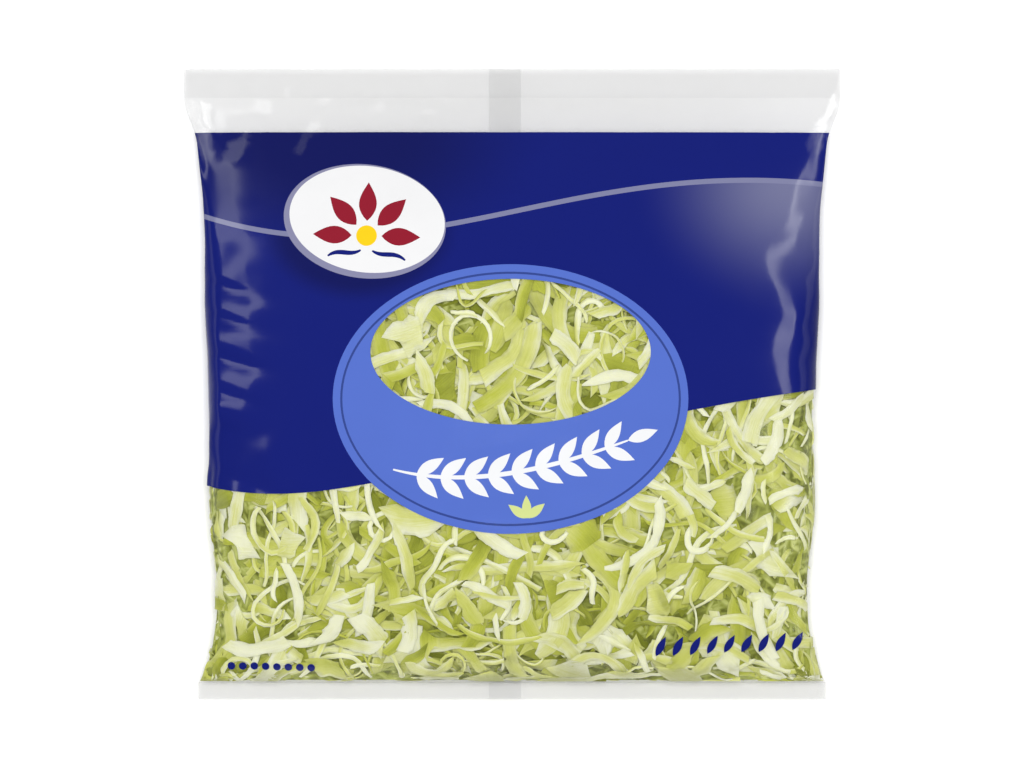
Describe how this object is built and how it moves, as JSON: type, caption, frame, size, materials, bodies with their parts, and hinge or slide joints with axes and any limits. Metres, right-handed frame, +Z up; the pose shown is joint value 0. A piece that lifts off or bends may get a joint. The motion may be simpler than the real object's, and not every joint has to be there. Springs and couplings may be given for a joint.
{
  "type": "bag of coleslaw",
  "caption": "Sealed clear pillow bag of finely shredded green cabbage, lying on its back, with a printed upper half, flat end seals and a back seam.",
  "frame": {"origin": "on the resting plane, under the middle of the bag as it lies on its back", "axes": "+Z up out of the front face, +Y towards the top seal, +X to the right of the front face"},
  "size_m": [0.23, 0.221, 0.0524],
  "materials": {
    "slaw_in_film": "gloss, pale green shreds seen through clear film",
    "clear_film": "thin clear film, gloss",
    "dark_blue_print": "gloss print on film",
    "mid_blue_print": "gloss print on film",
    "white_print": "gloss print on film",
    "lilac_print": "gloss print on film",
    "cabbage_leaf": "moist satin leaf, yellow-green",
    "cabbage_rib": "moist satin rib, near white"
  },
  "bodies": {
    "root": {"slaw_bag": "slaw_in_film"}
  },
  "joints": []
}
